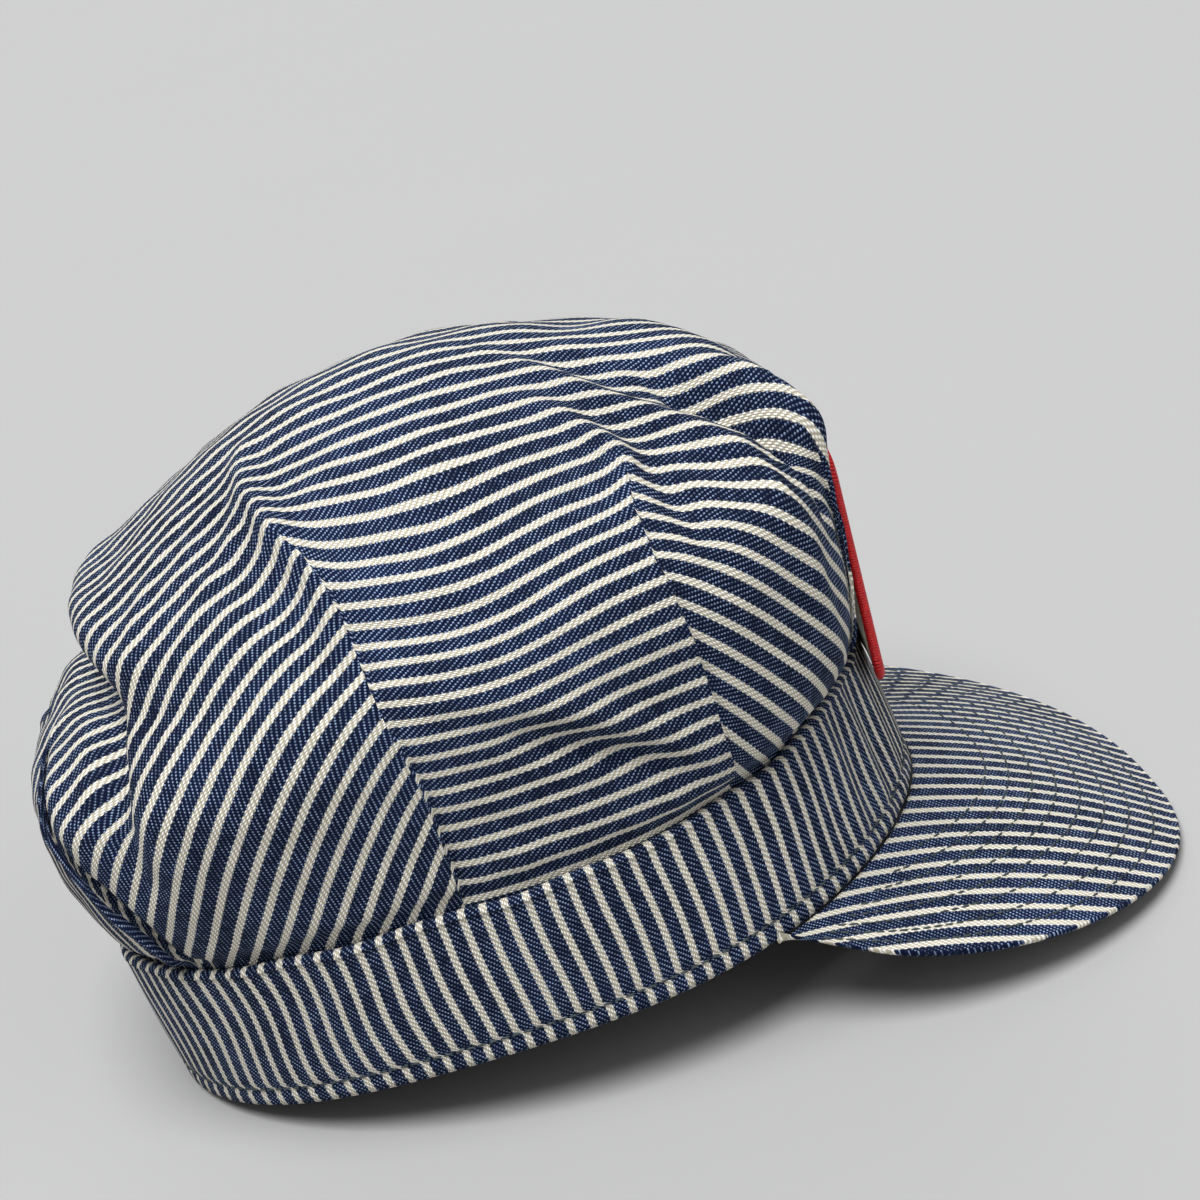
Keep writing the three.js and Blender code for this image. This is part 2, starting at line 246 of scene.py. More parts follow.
def crown_base(angle, level):
    """A point of the crown before its folds. The angle runs from the front to the wearer's right."""
    angle, level = np.broadcast_arrays(np.asarray(angle, float), np.asarray(level, float))
    ring = smooth_rings(level)
    ahead, aside = np.cos(angle), np.sin(angle)
    front = ahead > 0
    reach = np.maximum(np.abs(np.where(front, ring[..., 1], ring[..., 2])), 1e-6)
    half = np.maximum(np.abs(ring[..., 0]), 1e-6)
    power = np.where(front, ring[..., 6], ring[..., 7])
    radius = (np.abs(aside / half) ** power + np.abs(ahead / reach) ** power) ** (-1 / power)
    up = ring[..., 3] + np.where(front, ring[..., 4] - ring[..., 3], ring[..., 5] - ring[..., 3]) * ahead ** 2
    up = up + rim_rise(angle) * np.clip(1.25 - level / 5, 0, 1)
    return np.stack([-radius * aside, -radius * ahead, up], -1)


def fold_rise(points):
    """How far the folds lift or sink each point of the crown."""
    flat = points.reshape(-1, 3)
    total = np.zeros(len(flat))
    for _, sides, width, rise, path in FOLDS:
        path = np.array(path, float)
        steps = np.arange(len(path))
        fine = np.linspace(0, len(path) - 1, 8 * len(path))
        if path.shape[1] > 2:
            share = np.interp(fine, steps, path[:, 2])
        else:
            share = np.sin(math.pi * (0.08 + 0.84 * np.linspace(0, 1, len(fine)))) ** 0.8
        share = np.convolve(np.pad(share, 4, mode="edge"), np.full(9, 1 / 9), mode="valid")
        for side in (1, -1) if sides == 0 else (sides,):
            keep, turn = (1.0, 0.0) if side > 0 else (LEFT_RISE, LEFT_TURN)
            angles = np.radians(side * (np.interp(fine, steps, path[:, 0]) + turn))
            line = crown_base(angles, np.interp(fine, steps, path[:, 1]))
            best = np.full(len(flat), 1e9)
            height = np.zeros(len(flat))
            for k in range(len(line) - 1):
                run = line[k + 1] - line[k]
                rel = flat - line[k]
                t = np.clip(rel @ run / (run @ run + 1e-9), 0, 1)
                gap = np.linalg.norm(rel - t[:, None] * run, axis=1)
                closer = gap < best
                best = np.where(closer, gap, best)
                height = np.where(closer, share[k] + (share[k + 1] - share[k]) * t, height)
            total += keep * rise * height * np.exp(-(best / width) ** 2)
    return total.reshape(points.shape[:-1])


def dart_line(dart, level, side):
    """Angle of a dart's line at a level."""
    rows = np.array(dart["line"], float)
    return side * np.radians(np.interp(level, rows[:, 0], rows[:, 1]))


# Darts in order round the crown, from the front by the wearer's right to the back and on.
AROUND = [(dart, 1) for dart in DARTS] + [(dart, -1) for dart in reversed(DARTS)]


def line_angle(k, level):
    """Angle of the line of the dart with number k round the crown, growing on from turn to turn."""
    dart, side = AROUND[k % 8]
    angle = dart_line(dart, level, side)
    return angle + 2 * math.pi * (side < 0) + 2 * math.pi * (k // 8)


def opening(dart, level):
    """How far a dart is open at a level: 1 low down, falling to 0 at its end."""
    left = dart["end"] - np.asarray(level, float)
    if dart["lap"]:
        share = np.clip(left / dart["ramp"], 0, 1)
        return share * share * (3 - 2 * share)
    return np.clip(left / dart["ramp"], 0, 1) ** 0.7


def flat_mesh():
    """The crown's plain shape on a coarse grid, with its darts marked as seams."""
    starts = np.cumsum((0,) + FLAT_COLUMNS)
    width, rows = starts[-1], len(FLAT_LEVELS) - 1
    angles = np.zeros((len(FLAT_LEVELS), width))
    for k, count in enumerate(FLAT_COLUMNS):
        a, b = line_angle(k, FLAT_LEVELS), line_angle(k + 1, FLAT_LEVELS)
        share = np.arange(count) / count
        angles[:, starts[k]:starts[k + 1]] = a[:, None] + (b - a)[:, None] * share
    points = crown_base(angles, FLAT_LEVELS[:, None])
    # Each dart ends in a small peak, which lets the cloth turn at once on both sides of it.
    for dart, side in AROUND:
        end = crown_base(dart_line(dart, dart["end"], side), dart["end"])
        near = np.clip(1 - np.linalg.norm(points - end, axis=-1) / TUCK_REACH, 0, 1) ** 1.5
        points = points + unit(end - np.array((0.0, 0.0, TUCK_CENTRE))) * (near * dart["tuck"])[..., None]
    vertices = points[:-1].reshape(-1, 3).tolist() + [[0, 0, CROWN_HEIGHT]]
    pole, last = len(vertices) - 1, (rows - 1) * width
    faces = grid_faces(rows, width)[0].tolist()
    faces += [(last + c, pole, last + (c + 1) % width) for c in range(width)]
    mesh = bpy.data.meshes.new("flat_cloth")
    mesh.from_pydata(vertices, [], faces)
    mesh.uv_layers.new(name="cloth")
    ends = {starts[k]: AROUND[k][0]["end"] for k in range(8)}
    for edge in mesh.edges:
        a, b = sorted(edge.vertices)
        if b - a == width and a % width in ends and b != pole:
            edge.use_seam = FLAT_LEVELS[b // width] <= ends[a % width]
    return mesh


def unwrap(mesh):
    """Flat coordinates of a mesh's corners, with the least stretch, open along its seams. The mesh is used up."""
    shape = add_object("flat_cloth", mesh)
    for other in bpy.context.selected_objects:
        other.select_set(False)
    bpy.context.view_layer.objects.active = shape
    shape.select_set(True)
    bpy.ops.object.mode_set(mode="EDIT")
    bpy.ops.mesh.select_all(action="SELECT")
    bpy.ops.uv.unwrap(method="MINIMUM_STRETCH", fill_holes=False, correct_aspect=False, margin=0.0, iterations=60)
    bpy.ops.object.mode_set(mode="OBJECT")
    flat = np.zeros(len(mesh.loops) * 2)
    mesh.uv_layers["cloth"].data.foreach_get("uv", flat)
    bpy.data.objects.remove(shape)
    bpy.data.meshes.remove(mesh)
    return flat.reshape(-1, 2)


def flatten_crown():
    """Lays the crown's cloth out flat, cut open along its darts, so that its stripes run as on one piece of cloth.

    Gives each panel's flat coordinates in millimetres, across the stripes and along them, row by row.
    """
    corners = iter(unwrap(flat_mesh()))
    sheets = [np.zeros((len(FLAT_LEVELS), count + 1, 2)) for count in FLAT_COLUMNS]
    places = [(k, i) for k, count in enumerate(FLAT_COLUMNS) for i in range(count)]
    for r in range(len(FLAT_LEVELS) - 1):
        for k, i in places:
            sheet = sheets[k]
            sheet[r, i], sheet[r + 1, i] = next(corners), next(corners)
            # The faces round the top have three corners.
            sheet[r + 1, i + 1] = sheet[r + 1, i] if r == len(FLAT_LEVELS) - 2 else next(corners)
            sheet[r, i + 1] = next(corners)
    # Points of the cap's middle line, in panel 7 in front and in panel 3 behind, set the run of the stripes.
    row = 40
    ahead, behind = sheets[7][row, 5].copy(), sheets[3][row, 6]
    along = behind - ahead
    turn = math.atan2(along[0], along[1])
    spin = np.array(((math.cos(turn), math.sin(turn)), (-math.sin(turn), math.cos(turn))))
    right = (sheets[1][row, 5] - ahead) @ spin
    flip = np.array((1.0 if right[0] > 0 else -1.0, 1.0))
    # The flat cloth has the size of the real one, measured up the columns between these rows.
    measured = slice(20, 50)
    real = drawn = 0.0
    for k, count in enumerate(FLAT_COLUMNS):
        a, b = line_angle(k, FLAT_LEVELS), line_angle(k + 1, FLAT_LEVELS)
        share = np.arange(count + 1) / count
        solid = crown_base(a[:, None] + (b - a)[:, None] * share, FLAT_LEVELS[:, None])
        real += np.linalg.norm(np.diff(solid[measured], axis=0), axis=-1).sum()
        drawn += np.linalg.norm(np.diff(sheets[k][measured], axis=0), axis=-1).sum()
    size = real / drawn
    return [((sheet - ahead) @ spin) * flip * size for sheet in sheets]


def lookup(sheet, share, level):
    """Reads a panel's flat coordinates between its rows and columns, and beyond its cut edges."""
    rows = np.clip((level - FLAT_LEVELS[0]) / (FLAT_LEVELS[1] - FLAT_LEVELS[0]), 0, len(FLAT_LEVELS) - 1.0001)
    columns = share * (sheet.shape[1] - 1)
    i = np.clip(np.floor(rows).astype(int), 0, len(FLAT_LEVELS) - 2)
    j = np.clip(np.floor(columns).astype(int), 0, sheet.shape[1] - 2)
    t = (rows - i)[..., None]
    s = (columns - j)[..., None]
    low = sheet[i, j] * (1 - s) + sheet[i, j + 1] * s
    high = sheet[i + 1, j] * (1 - s) + sheet[i + 1, j + 1] * s
    return low * (1 - t) + high * t


# ---- mesh helpers

def add_object(name, data):
    """A new object in the scene."""
    made = bpy.data.objects.new(name, data)
    bpy.context.collection.objects.link(made)
    return made


def make_mesh(name, points, faces, uvs=None, marks=None):
    """A mesh in the rest frame from points in millimetres, with cloth coordinates in metres."""
    mesh = bpy.data.meshes.new(name)
    mesh.from_pydata(to_rest(points).tolist(), [], [tuple(int(i) for i in face if i >= 0) for face in faces])
    if uvs is not None:
        layer = mesh.uv_layers.new(name="cloth")
        layer.data.foreach_set("uv", (np.asarray(uvs, float) / 1000).ravel())
    for mark, values in (marks or {}).items():
        attribute = mesh.attributes.new(mark, "FLOAT", "POINT")
        attribute.data.foreach_set("value", np.asarray(values, float).ravel())
    mesh.validate()
    mesh.update()
    return mesh


def place(name, mesh, material, replaces=()):
    """Puts a finished mesh in the scene as a piece of the cap."""
    piece = add_object(name, mesh)
    mesh.materials.clear()
    mesh.materials.append(material)
    mesh.polygons.foreach_set("use_smooth", [True] * len(mesh.polygons))
    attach(piece, "root")
    if replaces:
        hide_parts(*replaces)
    return piece


def grid_faces(rows, columns, round_rows=False, round_columns=True, flip=False):
    """Faces of a grid of points, closed round its rows or its columns, and the row and column of each corner."""
    r, c = np.meshgrid(np.arange(rows - (not round_rows)), np.arange(columns - (not round_columns)), indexing="ij")
    r, c = r.ravel(), c.ravel()
    s, d = (r + 1) % rows, (c + 1) % columns
    corners = ((r, c), (r, d), (s, d), (s, c)) if flip else ((r, c), (s, c), (s, d), (r, d))
    return np.stack([i * columns + j for i, j in corners], -1), corners


def face_outwards(mesh, close=False):
    """Turns a mesh's faces outwards, with its open ends closed first if close is set."""
    shell = bmesh.new()
    shell.from_mesh(mesh)
    if close:
        bmesh.ops.holes_fill(shell, edges=[e for e in shell.edges if e.is_boundary], sides=0)
    bmesh.ops.recalc_face_normals(shell, faces=shell.faces)
    shell.to_mesh(mesh)
    shell.free()


# ---- shader helpers

def add_node(tree, kind, settings, sockets):
    """Adds a node with its settings, and the value or the link of each socket that is named."""
    made = tree.nodes.new(kind)
    for key, value in settings.items():
        setattr(made, key, value)
    for key, value in sockets.items():
        if isinstance(value, Value):
            value = value.socket
        if isinstance(value, bpy.types.NodeSocket):
            tree.links.new(value, made.inputs[key])
        else:
            made.inputs[key].default_value = value
    return made


def math_method(operation, reflected=False):
    """A method of Value that adds one Math node."""
    def apply(self, *others):
        values = (*others, self) if reflected else (self, *others)
        return self.shader.math(operation, *values)
    return apply


class Value:
    """A socket that adds its Math nodes when it is used in an expression."""

    def __init__(self, shader, socket):
        self.shader = shader
        self.socket = socket

    __add__ = __radd__ = math_method("ADD")
    __sub__, __rsub__ = math_method("SUBTRACT"), math_method("SUBTRACT", reflected=True)
    __mul__ = __rmul__ = math_method("MULTIPLY")
    __truediv__, __rtruediv__ = math_method("DIVIDE"), math_method("DIVIDE", reflected=True)
    __pow__ = math_method("POWER")
    __mod__ = math_method("FLOORED_MODULO")
    __abs__ = math_method("ABSOLUTE")
    floor = math_method("FLOOR")
    sin = math_method("SINE")

    def clamp(self):
        node = self.shader.node("ShaderNodeClamp", {}, {"Value": self})
        return Value(self.shader, node.outputs[0])

    def ramp(self, low, high):
        """0 below low, 1 above high, smooth between."""
        settings = {"interpolation_type": "SMOOTHSTEP"}
        node = self.shader.node("ShaderNodeMapRange", settings, {"Value": self, "From Min": low, "From Max": high})
        return Value(self.shader, node.outputs[0])


class Shader:
    """Builds one node material."""

    def __init__(self, name):
        self.material = bpy.data.materials.new(name)
        self.material.use_nodes = True
        self.tree = self.material.node_tree
        self.tree.nodes.clear()

    def node(self, kind, settings, sockets):
        return add_node(self.tree, kind, settings, sockets)

    def math(self, operation, *values):
        made = self.node("ShaderNodeMath", {"operation": operation}, dict(enumerate(values)))
        return Value(self, made.outputs[0])

    def mix(self, factor, a, b):
        """Mixes two colours, each a socket or a plain colour."""
        a = (*a, 1.0) if isinstance(a, (tuple, list)) else a
        b = (*b, 1.0) if isinstance(b, (tuple, list)) else b
        made = self.node("ShaderNodeMix", {"data_type": "RGBA"}, {0: factor, 6: a, 7: b})
        return made.outputs[2]

    def noise(self, where, scale, detail=2.0, rough=0.5, dimensions="3D"):
        sockets = {"Vector": where, "Scale": scale, "Detail": detail, "Roughness": rough}
        made = self.node("ShaderNodeTexNoise", {"noise_dimensions": dimensions}, sockets)
        return Value(self, made.outputs[0])

    def place(self):
        return self.node("ShaderNodeTexCoord", {}, {}).outputs["Object"]

    def cloth(self):
        """Cloth coordinates of the piece in millimetres: across the stripes, and along them."""
        uv = self.node("ShaderNodeUVMap", {"uv_map": "cloth"}, {}).outputs[0]
        parts = self.node("ShaderNodeSeparateXYZ", {}, {0: uv})
        return Value(self, parts.outputs[0]) * 1000.0, Value(self, parts.outputs[1]) * 1000.0, uv

    def mark(self, name):
        return Value(self, self.node("ShaderNodeAttribute", {"attribute_name": name}, {}).outputs["Fac"])

    def finish(self, colour, roughness, bump=None, distance=0.0002, strength=1.0, **constants):
        sockets = {"Base Color": colour, "Roughness": roughness}
        if bump is not None:
            made = self.node("ShaderNodeBump", {}, {"Height": bump, "Distance": distance, "Strength": strength})
            sockets["Normal"] = made.outputs[0]
        for key, value in constants.items():
            sockets[key.replace("_", " ")] = value
        skin = self.node("ShaderNodeBsdfPrincipled", {}, sockets)
        self.node("ShaderNodeOutputMaterial", {}, {"Surface": skin.outputs[0]})
        return self.material


# Width of one long yarn of the denim and of one cross yarn, and of the patch's yarn and diagonal lines.
WARP, PICK = 0.46, 0.52
PATCH_YARN, PATCH_LINE = 0.32, 0.9


def tinted(colour, *factors):
    """A colour with its three parts multiplied by one factor or by three."""
    return tuple(c * f for c, f in zip(colour, factors * (4 - len(factors))))


def brighter(colour, factor, rest):
    """A colour multiplied and raised, up to white at most."""
    return tuple(min(1.0, c * factor + rest) for c in colour)


def stripe_cloth(name, look, shift=0.0, worn=0.0, rolled=""):
    """Navy denim with cream stripes in a two-and-one twill. rolled names the mark where only the navy shows."""
    shader = Shader(name)
    u, v, uv = shader.cloth()
    where = shader.place()
    u = u + (shader.noise(where, 60.0, 2.0) - 0.5) * 0.5
    yarn = u / WARP
    across = yarn % 1.0
    jitter = shader.noise(where, 900.0, 1.0)
    # Along each long yarn: two picks over, one under, one pick further on for each yarn.
    float_share = ((v / PICK - yarn.floor() + (jitter - 0.5) * 0.5) / 3.0) % 1.0
    rounded = (across * math.pi).sin()
    hump = ((float_share / 0.74).clamp() * math.pi).sin()
    fleck = float_share.ramp(0.68, 0.78) * (1.0 - float_share.ramp(0.92, 1.0)) * (rounded ** 0.7)
    phase = abs(((u + shift) / (look.pitch * 1000)) % 1.0 - 0.5)
    edge = look.share / 2 + (hump - 0.6) * 0.045
    pale = 1.0 - (phase - edge).ramp(-0.022, 0.022)
    if rolled:
        pale = pale * (1.0 - shader.mark(rolled).ramp(0.3, 0.6))
    tone = shader.noise(where, 34.0, 3.0, 0.6)
    stretched = shader.node("ShaderNodeMapping", {}, {"Vector": uv, "Scale": (2400.0, 160.0, 1.0)}).outputs[0]
    slub = shader.noise(stretched, 1.0, 1.0, 0.5, "2D")
    # Each yarn's roundness is painted into the colour as light and shade: a painted highlight along the middle of
    # each float, and painted shade at its sides and in the gaps between yarns. The same shape also drives the bump
    # and the roughness.
    yarn_relief_light = (hump * 0.75 + 0.25) * (rounded * 0.55 + 0.45)
    navy, cream = tuple(look.navy), tuple(look.cream)
    # Painted shade on the navy: it darkens to about a quarter of its colour where the painted yarn light is low. The
    # slub adds the yarn's own unevenness.
    blue = shader.mix((yarn_relief_light * 0.8 + (slub - 0.5) * 0.7).clamp(), tinted(navy, 0.26), navy)
    faded = ((tone - 0.45) * 1.3 + (slub - 0.5) * 0.5 + worn).clamp()
    blue = shader.mix(faded, blue, brighter(navy, 2.0, 0.003))
    patchy = shader.noise(where, 420.0, 2.0).ramp(0.34, 0.66)
    blue = shader.mix((fleck * (0.34 + patchy * 0.62 + (tone - 0.5) * 1.1)).clamp(), blue, tuple(look.fleck))
    # Painted highlight and painted shade on the cream as well: it turns darker and warmer where the painted yarn
    # light is low.
    pale_colour = shader.mix(yarn_relief_light.ramp(0.15, 0.92), tinted(cream, 0.48, 0.44, 0.36), cream)
    height = yarn_relief_light + pale * 0.25 + (jitter - 0.5) * 0.3
    roughness = 0.80 + (1.0 - yarn_relief_light) * 0.15
    colour = shader.mix(pale, blue, pale_colour)
    return shader.finish(colour, roughness, height, 0.00030, 1.0, Specular_IOR_Level=0.10)


def thread_look(name, colour, gloss=0.55):
    """Twisted sewing thread."""
    shader = Shader(name)
    where = shader.place()
    twist = shader.noise(where, 2600.0, 2.0)
    tone = shader.noise(where, 90.0, 2.0)
    shade = shader.mix(twist.ramp(0.3, 0.7), tinted(colour, 0.5), brighter(colour, 1.6, 0.01))
    shade = shader.mix((tone * 0.6).clamp(), shade, colour)
    return shader.finish(shade, gloss + (twist - 0.5) * 0.2, twist, 0.0001, 0.5, Specular_IOR_Level=0.4)


def twill_field(name, colour):
    """Plain pale patch twill with fine diagonal lines."""
    shader = Shader(name)
    u, v, _ = shader.cloth()
    where = shader.place()
    diagonal = (((u + v) / PATCH_LINE) % 1.0 * math.pi).sin()
    yarn = ((u / PATCH_YARN) % 1.0 * math.pi).sin()
    tone = shader.noise(where, 55.0, 3.0, 0.6)
    fine = shader.noise(where, 1500.0, 1.0)
    shade = shader.mix((diagonal * 0.7 + yarn * 0.3).ramp(0.1, 0.9), tinted(colour, 0.72), colour)
    shade = shader.mix(((tone - 0.5) * 0.8 + 0.2).clamp(), shade, tinted(colour, 0.93, 0.90, 0.82))
    height = diagonal * 0.7 + yarn * 0.3 + (fine - 0.5) * 0.4
    roughness = 0.82 + (fine - 0.5) * 0.1
    return shader.finish(shade, roughness, height, 0.00014, 0.7, Sheen_Weight=0.1, Specular_IOR_Level=0.25)


# ---- stitches

def stitch_tree():
    """Stitches laid end to end along lines, as one piece of thread each."""
    tree = bpy.data.node_groups.new("Run of stitches", "GeometryNodeTree")
    face = tree.interface
    face.new_socket("Lines", in_out="INPUT", socket_type="NodeSocketGeometry")
    for label, value in (("Spacing", 0.0029), ("Length", 0.0022), ("Radius", 0.00027), ("Flatness", 0.7)):
        socket = face.new_socket(label, in_out="INPUT", socket_type="NodeSocketFloat")
        socket.default_value = value
    face.new_socket("Material", in_out="INPUT", socket_type="NodeSocketMaterial")
    face.new_socket("Stitches", in_out="OUTPUT", socket_type="NodeSocketGeometry")

    def node(kind, settings, sockets):
        return add_node(tree, kind, settings, sockets)

    entry = node("NodeGroupInput", {}, {}).outputs
    line = node("GeometryNodeMeshToCurve", {}, {0: entry["Lines"]})
    spaced = {"Curve": line.outputs[0], "Length": entry["Spacing"]}
    even = node("GeometryNodeResampleCurve", {"mode": "LENGTH"}, spaced)
    bead = node("GeometryNodeMeshUVSphere", {}, {"Segments": 8, "Rings": 7, "Radius": 1.0})
    half = node("ShaderNodeMath", {"operation": "MULTIPLY"}, {0: entry["Length"], 1: 0.5})
    wide = node("ShaderNodeCombineXYZ", {}, {0: entry["Radius"], 1: entry["Radius"], 2: half.outputs[0]})
    shaped = node("GeometryNodeTransform", {}, {"Geometry": bead.outputs[0], "Scale": wide.outputs[0]})
    tangent = node("GeometryNodeInputTangent", {}, {})
    turned = node("FunctionNodeAlignRotationToVector", {"axis": "Z"}, {"Vector": tangent.outputs[0]})
    vary = node("FunctionNodeRandomValue", {"data_type": "FLOAT"}, {"Min": 0.88, "Max": 1.1, "Seed": 7})
    sizes = node("ShaderNodeCombineXYZ", {}, {0: 1.0, 1: 1.0, 2: vary.outputs["Value"]})
    points = node("GeometryNodeInstanceOnPoints", {}, {
        "Points": even.outputs[0], "Instance": shaped.outputs[0],
        "Rotation": turned.outputs[0], "Scale": sizes.outputs[0]})
    real = node("GeometryNodeRealizeInstances", {}, {0: points.outputs[0]})
    soft = node("GeometryNodeSetShadeSmooth", {}, {0: real.outputs[0]})
    dressed = node("GeometryNodeSetMaterial", {}, {"Geometry": soft.outputs[0], "Material": entry["Material"]})
    node("NodeGroupOutput", {}, {0: dressed.outputs[0]})
    return tree


def sew(name, lines, material, spacing, length, radius):
    """Runs the stitch tree along lines given in millimetres, and keeps the result as a plain mesh."""
    points, edges = [], []
    for line in lines:
        start = len(points)
        points.extend(to_rest(line).tolist())
        edges.extend((start + i, start + i + 1) for i in range(len(line) - 1))
    mesh = bpy.data.meshes.new(name + "_lines")
    mesh.from_pydata(points, edges, [])
    holder = add_object(name + "_lines", mesh)
    tree = bpy.data.node_groups.get("Run of stitches") or stitch_tree()
    maker = holder.modifiers.new("Stitches", "NODES")
    maker.node_group = tree
    values = {"Spacing": spacing, "Length": length, "Radius": radius, "Material": material}
    for socket in tree.interface.items_tree:
        if socket.in_out == "INPUT" and socket.name in values:
            maker[socket.identifier] = values[socket.name]
    holder.update_tag()
    bpy.context.view_layer.update()
    ready = holder.evaluated_get(bpy.context.evaluated_depsgraph_get())
    plain = bpy.data.meshes.new_from_object(ready)
    plain.name = name
    bpy.data.objects.remove(holder)
    bpy.data.meshes.remove(mesh)
    if not len(plain.polygons):
        raise RuntimeError(f"{name} has no stitches")
    return place(name, plain, material)


# ---- crown

def crown_columns():
    """Column list of the fine crown: each is a dart's column or a column of the panel after it."""
    columns = []
    for k, count in enumerate(PANEL_COLUMNS):
        columns += [(k, "dart", float(p)) for p in np.linspace(-1, 1, DART_COLUMNS)]
        columns += [(k, "panel", float(s)) for s in np.arange(1, count + 1) / (count + 1)]
    return columns


def even_out(level, angle, points, folded, left, right):
    """Shares the cloth out evenly over the folds, ring by ring, so that no flank of a fold is stretched."""
    turned = np.degrees(np.arctan2(np.sin(angle), np.cos(angle)))
    moved = np.zeros_like(angle)
    first, full, full_end, end = EVEN_RINGS
    for i, at in enumerate(level):
        weight = float(np.clip((at - first) / (full - first), 0, 1) * np.clip((end - at) / (end - full_end), 0, 1))
        if not weight:
            continue
        order = np.argsort(turned[i])
        order = order[(turned[i][order] > EVEN_ANGLES[0]) & (turned[i][order] < EVEN_ANGLES[1])]
        steps = left[i, order[1:], 0] - right[i, order[:-1], 0]
        plain, real = (np.linalg.norm(np.diff(shape[i, order], axis=0), axis=-1) for shape in (points, folded))
        shared = steps * (real / (plain + 1e-9))
        shared = shared * steps.sum() / shared.sum()
        moved[i, order] = np.concatenate([[0], np.cumsum(shared - steps)]) * weight
    for _ in range(6):
        moved[1:-1] = moved[:-2] * 0.25 + moved[1:-1] * 0.5 + moved[2:] * 0.25
    left[..., 0] += moved
    right[..., 0] += moved


def line_at(k, level):
    """Angle of a dart's line at each level, and the crown's radius there."""
    angle = line_angle(k, level)
    point = crown_base(angle, level)
    return angle, np.maximum(np.hypot(point[:, 0], point[:, 1]), 1.0)


def lap_column(dart, side, level, half, p):
    """A pleat's column: how far it slides and lifts, and how far along the lapped cloth it is, from either side."""
    open_now = opening(dart, level)
    keep = 1.0 if side > 0 else LEFT_LAP
    lap, deep = dart["lap"] * open_now * keep, dart["depth"] * open_now * keep
    fine = np.linspace(-1, 1, 81)
    across = fine[None] * half[:, None] - lap[:, None] * np.sin(math.pi * fine)[None]
    out = -dart["over"] * deep[:, None] * np.sin(math.pi * fine)[None]
    steps = np.hypot(np.diff(across, axis=1), np.diff(out, axis=1))
    run = np.concatenate([np.zeros((len(level), 1)), np.cumsum(steps, axis=1)], axis=1)
    at = (p + 1) * 40
    j = int(np.clip(np.floor(at), 0, 79))
    here = run[:, j] + (at - j) * (run[:, j + 1] - run[:, j])
    low, high = -half + here, half - (run[:, -1] - here)
    if side < 0:
        low, high = -high, -low
    return -side * lap * math.sin(math.pi * p), -dart["over"] * deep * math.sin(math.pi * p), low, high


def small_waves(angle, points):
    """Puckers where the cloth goes into the band, and the slight waves it has all over."""
    x, y, z = points[..., 0], points[..., 1], points[..., 2]
    over_band = z - rim_rise(angle) - BAND_HEIGHT
    puckers = np.sin(angle * 46 + 1.7 * np.sin(angle * 7)) * 0.5 + np.sin(angle * 27 + 2.0) * 0.5
    puckers = puckers * 0.55 * np.exp(-np.clip(over_band, 0, None) / 7.0)
    waves = 0.35 * np.sin(x * 0.21 + 1.0) * np.sin(y * 0.17 + z * 0.11)
    waves = waves + 0.22 * np.sin(x * 0.37 + z * 0.29 + 2.0) * np.sin(y * 0.33 - z * 0.21)
    return puckers, waves


def crown_surface(levels):
    """Points and cloth coordinates of the fine crown. Each column has coordinates for both its sides."""
    sheets = flatten_crown()
    columns = crown_columns()
    level = np.asarray(levels, float)
    angle, slide, lift = (np.zeros((len(level), len(columns))) for _ in range(3))
    left, right = (np.zeros((len(level), len(columns), 2)) for _ in range(2))
    for c, (k, kind, t) in enumerate(columns):
        dart, side = AROUND[k]
        here, radius = line_at(k, level)
        after, radius_after = line_at(k + 1, level)
        gap_before, gap_after = here - line_angle(k - 1, level), after - here
        # A dart takes up at most this share of the way to its neighbours.
        room = 0.3
        reach = np.minimum(dart["width"] / radius, room * np.minimum(gap_after, gap_before))
        if kind == "panel":
            following, gap_next = AROUND[(k + 1) % 8][0], line_angle(k + 2, level) - after
            reach_after = np.minimum(following["width"] / radius_after, room * np.minimum(gap_next, gap_after))
            start, stop = here + reach, after - reach_after
            angle[:, c] = start + (stop - start) * t
            left[:, c] = right[:, c] = lookup(sheets[k], (angle[:, c] - here) / gap_after, level)
            continue
        angle[:, c] = here + t * reach
        half, p = reach * radius, t * side
        if dart["lap"]:
            slide[:, c], lift[:, c], low_run, high_run = lap_column(dart, side, level, half, p)
        else:
            step = 0.4 * math.exp(-p / 0.6) if p > -0.01 else -math.exp(p / 0.4)
            lift[:, c] = dart["depth"] * opening(dart, level) * step
            low_run = high_run = t * half
        low = lookup(sheets[(k - 1) % 8], 1 + low_run / (gap_before * radius), level)
        high = lookup(sheets[k], high_run / (gap_after * radius), level)
        # The dart's middle column is the cut: its two sides have coordinates of their own.
        left[:, c] = low if t < 1e-9 else high
        right[:, c] = low if t < -1e-9 else high
    points = crown_base(angle, level[:, None])
    around = unit(np.roll(points, -1, 1) - np.roll(points, 1, 1))
    normal = unit(np.cross(np.gradient(points, axis=0), around))
    rise = fold_rise(points)
    for turn, ring, reach, slip in SLIPS:
        for side in (1, -1):
            centre = crown_base(math.radians(side * turn), ring)
            near = np.exp(-(np.linalg.norm(points - centre, axis=-1) / reach) ** 2)
            left[..., 0] -= side * slip * near
            right[..., 0] -= side * slip * near
    even_out(level, angle, points, points + normal * rise[..., None], left, right)
    puckers, waves = small_waves(angle, points)
    fade = np.clip((level - 1.0) / 1.0, 0, 1)[:, None]
    tangent = np.stack([-np.cos(angle), np.sin(angle), np.zeros_like(angle)], -1)
    out = (lift + rise + puckers + waves) * fade
    return points + normal * out[..., None] + tangent * (slide * fade)[..., None], left, right


# The part of the back pleat's half that is its turned edge.
TURNED = (0.08, 0.8)


